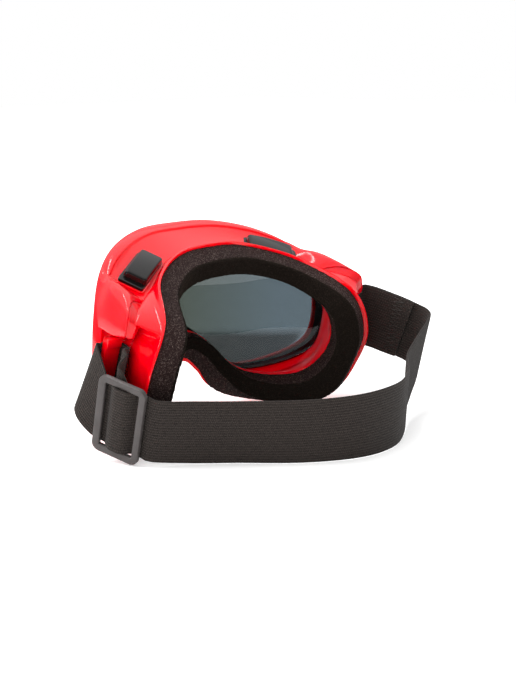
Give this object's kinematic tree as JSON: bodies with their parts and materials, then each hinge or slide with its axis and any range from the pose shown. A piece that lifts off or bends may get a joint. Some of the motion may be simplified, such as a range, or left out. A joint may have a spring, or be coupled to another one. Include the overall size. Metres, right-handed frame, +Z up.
{
  "type": "sports goggles",
  "caption": "Wrap-around sports goggles: glossy plastic frame, tinted lens, layered face foam, sliding top vents and a ribbed elastic head strap with an adjuster.",
  "frame": {"origin": "centre of the bounding box at the floor, goggles leaning back on cheek rim and strap", "axes": "+X to the wearer's left, -Y the way the lens looks, +Z up"},
  "size_m": [0.2252, 0.1596, 0.1121],
  "materials": {
    "frame_red": "gloss",
    "lens_tint": "gloss",
    "seal_black": "matte",
    "foam_black": "open-cell foam",
    "fleece_black": "short pile",
    "vent_black": "gloss",
    "webbing_black": "ribbed elastic webbing",
    "slider_grey": "satin"
  },
  "bodies": {
    "goggle": {"front_frame": "frame_red", "face_frame": "frame_red", "lens_outer": "lens_tint", "lens_inner": "lens_tint", "lens_spacer": "seal_black", "face_foam": "foam_black", "fleece_liner": "fleece_black", "outrigger_left": "frame_red", "outrigger_right": "frame_red", "vent_track_left": "vent_black", "vent_track_right": "vent_black", "vent_screen_left": "foam_black", "vent_screen_right": "foam_black", "strap": "webbing_black"},
    "vent_left": {"vent_slider_left": "vent_black"},
    "vent_right": {"vent_slider_right": "vent_black"},
    "adjuster": {"strap_slider": "slider_grey"}
  },
  "joints": [
    {"name": "vent_left_slide", "type": "slide", "parent": "goggle", "child": "vent_left", "axis": [0.8398, 0.4561, -0.2946], "range_m": [-0.003, 0.003]},
    {"name": "vent_right_slide", "type": "slide", "parent": "goggle", "child": "vent_right", "axis": [-0.8398, 0.4561, -0.2946], "range_m": [-0.003, 0.003]},
    {"name": "adjuster_slide", "type": "slide", "parent": "goggle", "child": "adjuster", "axis": [0.342, -0.8941, 0.289], "range_m": [-0.0015, 0.01], "deforming": ["strap"]}
  ]
}
